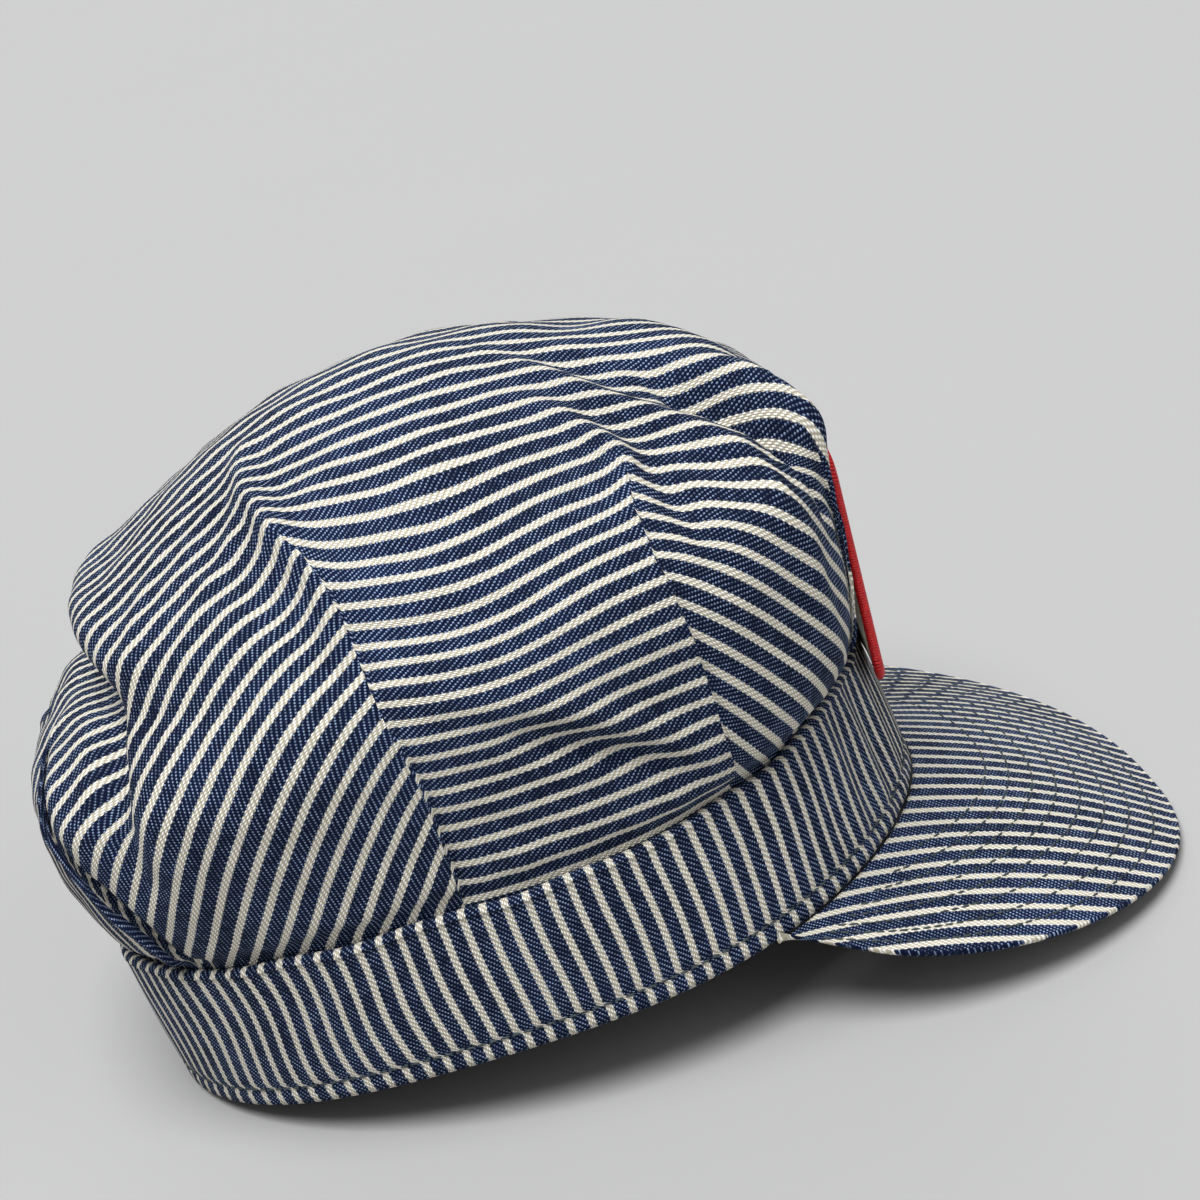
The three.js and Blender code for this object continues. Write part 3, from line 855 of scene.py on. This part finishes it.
def rolled_edge(levels):
    """Marks the turned edge of the two back pleats, where the fold lies along a navy stripe."""
    columns = crown_columns()
    mark = np.zeros((len(levels), len(columns)))
    for c, (k, kind, t) in enumerate(columns):
        dart, side = AROUND[k]
        if kind == "dart" and dart["name"] == "back pleat" and TURNED[0] < t * side < TURNED[1]:
            mark[:, c] = np.clip(opening(dart, np.asarray(levels, float)) * 3 - 0.6, 0, 1)
    return mark


class CAP_OT_crown(bpy.types.Operator):
    """Build the soft crown with its darts, pleats and folds"""

    bl_idname = "cap.crown"
    bl_label = "Crown"

    def execute(self, context):
        look = context.scene.cap_cloth
        spans = (np.linspace(0, 1, 5)[:-1], np.linspace(1, 9, 78)[:-1], np.linspace(9, TOP - 0.25, 34))
        levels = np.concatenate(spans)
        points, left, right = crown_surface(levels)
        rows, columns = points.shape[:2]
        faces, corners = grid_faces(rows, columns)
        uvs = np.stack([side[at] for side, at in zip((right, right, left, left), corners)], 1)
        top = points[-1].mean(0) + np.array((0, 0, 0.12))
        vertices = np.vstack([points.reshape(-1, 3), top[None]])
        c = np.arange(columns)
        d = (c + 1) % columns
        last = (rows - 1) * columns
        cap = np.stack([last + c, np.full(columns, len(vertices) - 1), last + d, np.full(columns, -1)], -1)
        middle = right[-1].mean(0)
        cap_uvs = np.stack([right[-1, c], np.repeat(middle[None], columns, 0), left[-1, d]], 1)
        all_uvs = np.concatenate([uvs.reshape(-1, 2), cap_uvs.reshape(-1, 2)])
        rolled = np.append(rolled_edge(levels).ravel(), 0.0)
        mesh = make_mesh("crown_shell", vertices, np.vstack([faces, cap]), all_uvs, {"rolled": rolled})
        cloth = stripe_cloth("Top cloth", look, rolled="rolled")
        crown = place("crown_shell", mesh, cloth, ("crown",))
        wall = crown.modifiers.new("Cloth", "SOLIDIFY")
        wall.thickness = context.scene.cap_sizes.cloth
        wall.offset = -1.0
        return {"FINISHED"}


# ---- band

# Height of the band's walls, the columns round it, and how many points of its section are on the outer wall and on
# the roll over it. One row of stitches sews its hem down, just over the hem's turned edge, and the hem's stripes
# are out of step with the wall's.
WALL = 37.0
BAND_COLUMNS = 620
OUTER_POINTS = 30
ROLL_POINTS = 9
HEM_ROW = 5.2
HEM_FOLD = 5.0
HEM_STEP = 1.9


def band_point(angle, out, up):
    """A point of the band: out from the lower edge's outside, up from the lower edge."""
    share = up / BAND_HEIGHT
    ahead, aside = np.cos(angle), np.sin(angle)
    reach = np.where(ahead > 0, RIM_REACH + out - 4.6 * share, RIM_REACH + out - 1.4 * share)
    half = RIM_HALF + out
    radius = ((aside / half) ** 2 + (ahead / reach) ** 2) ** -0.5
    return np.stack([-radius * aside, -radius * ahead, rim_rise(angle) + up], -1)


def band_section():
    """The folded strip's section as (out, up): up its outside, over the roll, down its inside and round the hem."""
    outer = [(0.25 + 1.75 * (h / WALL) ** 1.3 + 0.5 * math.sin(math.pi * h / WALL), h + 0.8)
             for h in np.linspace(0, WALL, OUTER_POINTS)]
    outer = [(out - 0.55 * math.exp(-((up - HEM_ROW) / 0.8) ** 2), up) for out, up in outer]
    roll = [(0.55 + 1.7 * math.cos(a), WALL + 0.8 + 1.7 * math.sin(a))
            for a in np.linspace(0.1, math.pi - 0.3, ROLL_POINTS)]
    inner = [(-1.15 - 0.85 * (1 - h / WALL), h) for h in np.linspace(WALL, 1.0, 10)]
    fold = [(-0.95 + 1.05 * math.cos(a), 0.9 + 0.9 * math.sin(a))
            for a in np.linspace(math.pi * 1.05, math.pi * 1.95, 7)]
    return np.array(outer + roll + inner + fold)


class CAP_OT_band(bpy.types.Operator):
    """Build the folded band round the head opening"""

    bl_idname = "cap.band"
    bl_label = "Band"

    def execute(self, context):
        look = context.scene.cap_cloth
        section = band_section()
        rows, count = len(section), BAND_COLUMNS
        angle = np.linspace(0, 2 * math.pi, count, endpoint=False)
        turned = np.degrees(np.abs(np.arctan2(np.sin(angle), np.cos(angle))))
        out, up = section[:, :1], section[:, 1:]
        share = np.clip(up / BAND_HEIGHT, 0, 1)
        # The strip waves a little all round, and is gathered beside the peak. Its top edge rises and falls.
        wobble = (0.35 * np.sin(angle * 9 + 0.6) + 0.25 * np.sin(angle * 23 + 1.9))[None] * (up / BAND_HEIGHT)
        gather = (0.8 * np.exp(-((turned - 25) / 11) ** 2) * np.sin(angle * 46))[None]
        wobble = wobble + gather * np.sin(math.pi * share) ** 0.5
        edge = 0.35 * np.sin(angle * 14 + 0.3)[None] * share ** 2
        points = band_point(np.repeat(angle[None], rows, 0), out + wobble, up + edge)
        faces, corners = grid_faces(rows, count, round_rows=True)
        # A whole number of stripes goes round, closer together where the strip is gathered.
        middle = band_point(angle, 1.0, 20.0)
        steps = np.linalg.norm(np.roll(middle, -1, 0) - middle, axis=-1)
        gathers = 1 + 0.6 * np.exp(-((turned - 24) / 15) ** 2)
        u = np.concatenate([[0], np.cumsum(steps * gathers)])
        pitch = look.pitch * 1000
        u = u * round(u[-1] / pitch) * pitch / u[-1]
        v = np.concatenate([[0], np.cumsum(np.hypot(*np.diff(np.vstack([section, section[:1]]), axis=0).T))])
        folded_in = (section[:, 1] < HEM_FOLD) | (np.arange(rows) >= OUTER_POINTS + ROLL_POINTS)
        hem = np.where(folded_in, HEM_STEP, 0.0)
        hem = np.append(hem, hem[0])
        # The stripes wander most at the back and beside the peak.
        around, back = np.append(angle, 2 * math.pi), np.append(turned, turned[0])
        slack = 0.25 + 0.95 * np.clip((back - 105) / 35, 0, 1) + 0.8 * np.exp(-((back - 26) / 14) ** 2)
        r, c = corners[0]
        uvs = [np.stack([u[i] + hem[j] + slack[i] * np.sin(v[j] / 6.4 + 4 * around[i]), v[j]], -1)
               for i, j in ((c, r), (c, r + 1), (c + 1, r + 1), (c + 1, r))]
        mesh = make_mesh("band_strip", points.reshape(-1, 3), faces, np.stack(uvs, 1).reshape(-1, 2))
        place("band_strip", mesh, stripe_cloth("Band cloth", look, 1.0), ("band",))
        return {"FINISHED"}


# ---- peak

# The peak's half width, the y of its tip, the angle round the band where its seam ends, and its slope.
PEAK_HALF = 84.0
PEAK_TIP = -154.5
PEAK_END = math.radians(56)
PEAK_SLOPE = math.tan(math.radians(21.7))
# Radius of the cover's rolled edge, and its thickness at the seam with what it loses towards the edge.
PEAK_ROLL = 0.9
PEAK_DEPTH, PEAK_TAPER = 3.2, 1.4
# Insets of the rows of stitches from the edge. The rows stop short of the seam.
PEAK_ROWS = [5.5 + 6.2 * i for i in range(8)]
SEAM_GAP = 7.0


def peak_point(share, along, depth=0.0):
    """A point of the peak. share runs from -1 to 1 across it, along from the seam to the edge."""
    share, along = np.broadcast_arrays(np.asarray(share, float), np.asarray(along, float))
    size = np.abs(share)
    seam = band_point(PEAK_END * share, 0.35, 0.0 * share)
    end = band_point(np.float64(PEAK_END), -0.6, 0.0)
    turn = size * math.pi / 2
    y = end[1] + (PEAK_TIP - end[1]) * np.clip(np.cos(turn), 0, 1) ** 0.85
    x = PEAK_HALF * np.sin(turn) ** 0.85 - (PEAK_HALF + end[0]) * size ** 10
    z = PEAK_SLOPE * (y + 50) + 2.6 * size + 1.5
    # The peak is a little twisted: its left side is higher, and its right end droops.
    x = -x * np.sign(share)
    z = z + 3.5 * x / PEAK_HALF + 2.4 * np.clip(x / PEAK_HALF, 0, 1) - 2.4 * np.clip(-x / PEAK_HALF, 0, 1) ** 4
    point = seam + (np.stack([x, y, z], -1) - seam) * along[..., None]
    # It is bulged by 3.2 mm along its middle.
    point[..., 2] += 3.2 * np.sin(math.pi * along) * (1 - size ** 2) - depth
    return point


def peak_line(inset, lift):
    """A row of stitching at one inset from the peak's edge."""
    share = np.linspace(-0.985, 0.985, 260)
    length = np.linalg.norm(peak_point(share, 1.0) - peak_point(share, 0.0), axis=-1)
    along = 1 - inset / length
    keep = along * length > SEAM_GAP
    line = peak_point(share[keep], along[keep])
    line[..., 2] += lift
    return line


class CAP_OT_peak(bpy.types.Operator):
    """Build the stiff peak in its cloth cover"""

    bl_idname = "cap.peak"
    bl_label = "Peak"

    def execute(self, context):
        look = context.scene.cap_cloth
        share = np.linspace(-1, 1, 281)
        # The cover gets thinner where its two ends go into the band.
        ends = np.clip((1 - np.abs(share)) * 9, 0.15, 1)
        along_top = np.concatenate([np.linspace(0, 0.9, 46)[:-1], np.linspace(0.9, 1, 8)])
        rows = [peak_point(share, along) for along in along_top]
        edge = peak_point(share, 1.0)
        outward = edge - peak_point(share, 0.97)
        outward[..., 2] = 0
        outward = unit(outward)
        for a in np.linspace(0, math.pi, 9)[1:-1]:
            row = edge + outward * (PEAK_ROLL * math.sin(a) * ends)[:, None]
            row[..., 2] -= PEAK_ROLL * (1 - math.cos(a)) * ends
            rows.append(row)
        for along in along_top[::-1][::2]:
            rows.append(peak_point(share, along, (PEAK_DEPTH - PEAK_TAPER * along ** 4) * ends))
        points = np.array(rows)[:, ::-1]
        faces, corners = grid_faces(*points.shape[:2], round_rows=True, round_columns=False, flip=True)
        where = np.stack([points[..., 0] * 1.08, points[..., 1] / math.cos(math.radians(20))], -1)
        uvs = np.stack([where[at] for at in corners], 1)
        mesh = make_mesh("peak_cover", points.reshape(-1, 3), faces, uvs.reshape(-1, 2))
        face_outwards(mesh, close=True)
        place("peak_cover", mesh, stripe_cloth("Peak cloth", look, 0.7, 0.12), ("peak",))
        return {"FINISHED"}


# ---- patch

# Where the patch stands on the crown, how far it leans back, its half width and half height, and its corner.
PATCH_FOOT = np.array((0.0, -96.2, 30.0))
PATCH_LEAN = math.radians(3.4)
PATCH_HALF = 32.0
PATCH_MIDDLE = 31.0
PATCH_CORNER = 7.0
# Inset of the middle of its edge, sizes of the edge's core, and the inset of the field.
EDGE_INSET = 2.1
CORE_HALF, CORE_HEIGHT, CORE_POINTS = 1.9, 1.0, 16
FIELD_INSET = 3.0
# The edge's threads: how many, the radius of one, its points and sides, and its slant from the middle to each end.
THREADS = 330
THREAD_RADIUS = 0.40
THREAD_STEPS, THREAD_SIDES = 9, 6
THREAD_SLANT = 0.45


def patch_frame(points):
    """Stands flat points (across, up, out) up on the front of the crown."""
    points = np.asarray(points, float)
    c, s = math.cos(PATCH_LEAN), math.sin(PATCH_LEAN)
    across, up, out = points[..., 0], points[..., 1], points[..., 2]
    # It follows the round of the crown, more so towards its foot.
    straight = 58.0
    bend = (across / PATCH_HALF) ** 2 * (0.7 + 3.3 * np.clip((straight - up) / straight, 0, 1))
    return np.stack([across, -s * up - c * out + bend, c * up - s * out], -1) + PATCH_FOOT


def at_height(flat, out):
    """Flat points from the patch's middle, as (across, up, out) at one height or at one for each."""
    out = np.zeros((len(flat), 1)) + np.reshape(out, (-1, 1))
    return np.concatenate([flat + [0, PATCH_MIDDLE], out], 1)


def patch_outline(inset, steps=14):
    """Outline of the patch, inset from its outside, as points with the direction out of it."""
    w, h, r = PATCH_HALF - inset, PATCH_MIDDLE - inset, max(PATCH_CORNER - inset * 0.6, 1.0)
    points, outs = [], []
    corners = ((w - r, -h + r, -90), (w - r, h - r, 0), (-w + r, h - r, 90), (-w + r, -h + r, 180))
    for i, (x, y, start) in enumerate(corners):
        for a in np.linspace(start, start + 90, steps):
            a = math.radians(a)
            points.append((x + r * math.cos(a), y + r * math.sin(a)))
            outs.append((math.cos(a), math.sin(a)))
        nx, ny, _ = corners[(i + 1) % 4]
        a = math.radians(start + 90)
        here = points[-1]
        there = (nx + r * math.cos(a), ny + r * math.sin(a))
        for t in np.linspace(0, 1, 24)[1:-1]:
            points.append((here[0] + (there[0] - here[0]) * t, here[1] + (there[1] - here[1]) * t))
            outs.append((math.cos(a), math.sin(a)))
    return np.array(points), np.array(outs)


class CAP_OT_patch(bpy.types.Operator):
    """Build the sewn-on patch: its plain twill field and its thick overlocked edge"""

    bl_idname = "cap.patch"
    bl_label = "Patch"

    def execute(self, context):
        look = context.scene.cap_patch
        thread = thread_look("Edge thread", tuple(look.edge), 0.42)
        self.core(thread)
        self.overlock(thread)
        self.field(look)
        return {"FINISHED"}

    def core(self, material):
        """The round core of the edge, which shows between its threads."""
        outline, outs = patch_outline(EDGE_INSET)
        rows = []
        for a in np.linspace(0, 2 * math.pi, CORE_POINTS, endpoint=False):
            wide, high = CORE_HALF * math.cos(a), CORE_HEIGHT + CORE_HEIGHT * math.sin(a)
            rows.append(at_height(outline + outs * wide, 0.1 + high))
        points = patch_frame(np.array(rows))
        faces, _ = grid_faces(*points.shape[:2], round_rows=True, flip=True)
        mesh = make_mesh("patch_edge_core", points.reshape(-1, 3), faces)
        face_outwards(mesh)
        place("patch_edge_core", mesh, material, ("patch_border",))

    def overlock(self, material):
        """The edge's threads, laid side by side over it at a slant."""
        outline, outs = patch_outline(EDGE_INSET, 26)
        loop = np.vstack([outline, outline[:1]])
        run = np.concatenate([[0], np.cumsum(np.linalg.norm(np.diff(loop, axis=0), axis=1))])
        at = np.arange(THREADS) / THREADS * run[-1]
        normals = np.vstack([outs, outs[:1]])
        centre, out = (np.stack([np.interp(at, run, t[:, i]) for i in (0, 1)], -1) for t in (loop, normals))
        out = unit(out)
        ahead = np.stack([-out[:, 1], out[:, 0]], -1)
        turn = np.linspace(-0.45 * math.pi, math.pi * 1.08, THREAD_STEPS)
        wide, high = 2.05 * np.cos(turn), 1.15 + 1.1 * np.sin(turn)
        slant = np.linspace(-THREAD_SLANT, THREAD_SLANT, THREAD_STEPS)
        tube, _ = grid_faces(THREAD_STEPS, THREAD_SIDES, flip=True)
        vertices, faces = [], []
        for i in range(THREADS):
            spine = at_height(centre[i] + out[i] * wide[:, None] + ahead[i] * slant[:, None], 0.1 + high)
            radial = np.concatenate([out[i][None] * np.cos(turn)[:, None], np.sin(turn)[:, None]], 1)
            side = np.append(ahead[i], 0.0)
            start = len(vertices)
            for j in range(THREAD_STEPS):
                pinch = THREAD_RADIUS * (0.55 if j in (0, THREAD_STEPS - 1) else 1.0)
                for a in np.linspace(0, 2 * math.pi, THREAD_SIDES, endpoint=False):
                    vertices.append(spine[j] + radial[j] * pinch * 0.75 * math.sin(a) + side * pinch * math.cos(a))
            faces += (tube + start).tolist()
            faces.append([start + s for s in reversed(range(THREAD_SIDES))])
            faces.append([len(vertices) - THREAD_SIDES + s for s in range(THREAD_SIDES)])
        mesh = make_mesh("patch_edge_threads", patch_frame(np.array(vertices)), faces)
        face_outwards(mesh)
        place("patch_edge_threads", mesh, material)

    def field(self, look):
        """The slightly puffed field inside the edge, closed behind."""
        inner, _ = patch_outline(FIELD_INSET)
        count = len(inner)
        rings = [at_height(inner * t, 1.25 + 0.25 * math.sin(math.pi * t)) for t in np.linspace(1, 0, 15)[:-1]]
        sheet = np.vstack([at_height(inner, 0.15), *rings, [[0.0, PATCH_MIDDLE, 1.25], [0.0, PATCH_MIDDLE, 0.15]]])
        rows, total = 1 + len(rings), len(sheet)
        quads, _ = grid_faces(rows, count, flip=True)
        c = np.arange(count)
        d = (c + 1) % count
        last, none = (rows - 1) * count, np.full(count, -1)
        close = np.stack([last + c, last + d, np.full(count, total - 2), none], -1)
        behind = np.stack([d, c, np.full(count, total - 1), none], -1)
        faces = np.vstack([quads, close, behind])
        spots = sheet[:, :2] - [0, PATCH_MIDDLE]
        uvs = np.concatenate([spots[face[face >= 0]] for face in faces])
        mesh = make_mesh("patch_field", patch_frame(sheet), faces, uvs)
        place("patch_field", mesh, twill_field("Patch twill", tuple(look.field)), ("patch_ground",))


# ---- stitching

class CAP_OT_stitching(bpy.types.Operator):
    """Sew the topstitching of the band and the rows of the peak"""

    bl_idname = "cap.stitching"
    bl_label = "Stitching"

    def execute(self, context):
        sizes, look = context.scene.cap_sizes, context.scene.cap_cloth
        thread = thread_look("Sewing thread", tuple(look.thread))
        angle = np.linspace(0, 2 * math.pi, 500)
        outer = band_section()[:OUTER_POINTS]
        hem = band_point(angle, np.interp(HEM_ROW, outer[:, 1], outer[:, 0]) + 0.05, HEM_ROW)
        sew("band_topstitch", [hem], thread, sizes.stitch, sizes.stitch * 0.78, sizes.thread)
        rows = [peak_line(inset, 0.06) for inset in PEAK_ROWS]
        rows = [row for row in rows if len(row) > 12]
        sew("peak_rows", rows, thread, sizes.stitch, sizes.stitch * 0.80, sizes.thread)
        return {"FINISHED"}


# ---- stage

class CAP_OT_stage(bpy.types.Operator):
    """Set up the floor, the soft lights and the camera"""

    bl_idname = "cap.stage"
    bl_label = "Stage"

    def execute(self, context):
        look = context.scene.cap_stage
        self.floor(look)
        self.lights(context, look)
        self.camera(context)
        return {"FINISHED"}

    def floor(self, look):
        mesh = bpy.data.meshes.new("floor")
        size = 6.0
        corners = [(x * size, y * size, 0) for x, y in ((-1, -1), (1, -1), (1, 1), (-1, 1))]
        mesh.from_pydata(corners, [], [(0, 1, 2, 3)])
        floor = add_object("floor", mesh)
        shader = Shader("Floor")
        tone = shader.noise(shader.place(), 6.0, 3.0)
        base = tuple(look.floor)
        colour = shader.mix((tone * 0.25).clamp(), base, tinted(base, 0.94))
        mesh.materials.append(shader.finish(colour, 0.75 + (tone - 0.5) * 0.1, Specular_IOR_Level=0.2))

    def lights(self, context, look):
        for name, spot, spread, power in (
            ("key", (-0.95, 0.66, 3.0), 38, look.key),
            ("fill", (-1.4, -1.3, 0.9), 60, look.key * 0.15),
            ("rim", (1.2, 0.3, 1.2), 50, look.key * 0.12),
        ):
            data = bpy.data.lights.new(name, "SUN")
            data.angle = math.radians(spread)
            data.energy = power
            lamp = add_object(name, data)
            lamp.location = spot
            lamp.rotation_mode = "QUATERNION"
            lamp.rotation_quaternion = Vector(spot).to_track_quat("Z", "Y")
        # The camera sees a plain grey past the floor. The light from all round is weaker than that.
        world = bpy.data.worlds.new("Studio")
        world.use_nodes = True
        tree = world.node_tree
        soft = tree.nodes["Background"]
        soft.inputs["Color"].default_value = (0.90, 0.91, 0.93, 1)
        soft.inputs["Strength"].default_value = look.wall
        seen = add_node(tree, "ShaderNodeBackground", {}, {"Color": (0.62, 0.62, 0.625, 1), "Strength": 1.0})
        rays = add_node(tree, "ShaderNodeLightPath", {}, {})
        shown = {0: rays.outputs["Is Camera Ray"], 1: soft.outputs[0], 2: seen.outputs[0]}
        both = add_node(tree, "ShaderNodeMixShader", {}, shown)
        tree.links.new(both.outputs[0], tree.nodes["World Output"].inputs[0])
        context.scene.world = world
        context.scene.view_settings.view_transform = "Standard"

    def camera(self, context):
        """The photograph's viewpoint, over the plane of the band's lower edge and then tipped with the cap."""
        azimuth, height, roll = (math.radians(a) for a in (266.9, 22.908, -22.567))
        distance, across, above = 683.4, 13.83, 73.67
        level = math.cos(height)
        back = np.array((math.sin(azimuth) * level, -math.cos(azimuth) * level, math.sin(height)))
        side = np.array((math.cos(azimuth), math.sin(azimuth), 0.0))
        top = np.cross(back, side)
        right = math.cos(roll) * side + math.sin(roll) * top
        up = -math.sin(roll) * side + math.cos(roll) * top
        spot = back * distance + across * right + above * up
        tip = Matrix.Rotation(-REST_TILT, 3, "X")
        turn = tip @ Matrix((right.tolist(), up.tolist(), back.tolist())).transposed()
        data = bpy.data.cameras.new("camera")
        data.sensor_width = 36.0
        data.lens = 81.71
        data.clip_start, data.clip_end = 0.01, 50.0
        camera = add_object("camera", data)
        camera.matrix_world = Matrix.Translation(to_rest(spot).tolist()) @ turn.to_4x4()
        context.scene.camera = camera


class CAP_PT_panel(bpy.types.Panel):
    """Buttons for each piece of the cap, and its sizes and colours"""

    bl_idname = "CAP_PT_panel"
    bl_label = "Engineer cap"
    bl_space_type = "VIEW_3D"
    bl_region_type = "UI"
    bl_category = "Cap"

    def draw(self, context):
        for operator in OPERATORS:
            self.layout.operator(operator.bl_idname)
        for key, kind in GROUPS.items():
            for name in kind.__annotations__:
                self.layout.prop(getattr(context.scene, key), name)


GROUPS = {"cap_sizes": CapSizes, "cap_cloth": ClothLook, "cap_patch": PatchLook, "cap_stage": StageLook}
OPERATORS = (CAP_OT_crown, CAP_OT_band, CAP_OT_peak, CAP_OT_patch, CAP_OT_stitching, CAP_OT_stage)


def register():
    for item in (*GROUPS.values(), *OPERATORS, CAP_PT_panel):
        bpy.utils.register_class(item)
    for name, group in GROUPS.items():
        setattr(bpy.types.Scene, name, bpy.props.PointerProperty(type=group))


def unregister():
    for name in GROUPS:
        delattr(bpy.types.Scene, name)
    for item in (CAP_PT_panel, *reversed(OPERATORS), *GROUPS.values()):
        bpy.utils.unregister_class(item)


def main():
    register()
    bpy.ops.cap.crown()
    bpy.ops.cap.band()
    bpy.ops.cap.peak()
    bpy.ops.cap.patch()
    bpy.ops.cap.stitching()
    bpy.ops.cap.stage()


if __name__ == "__main__":
    main()
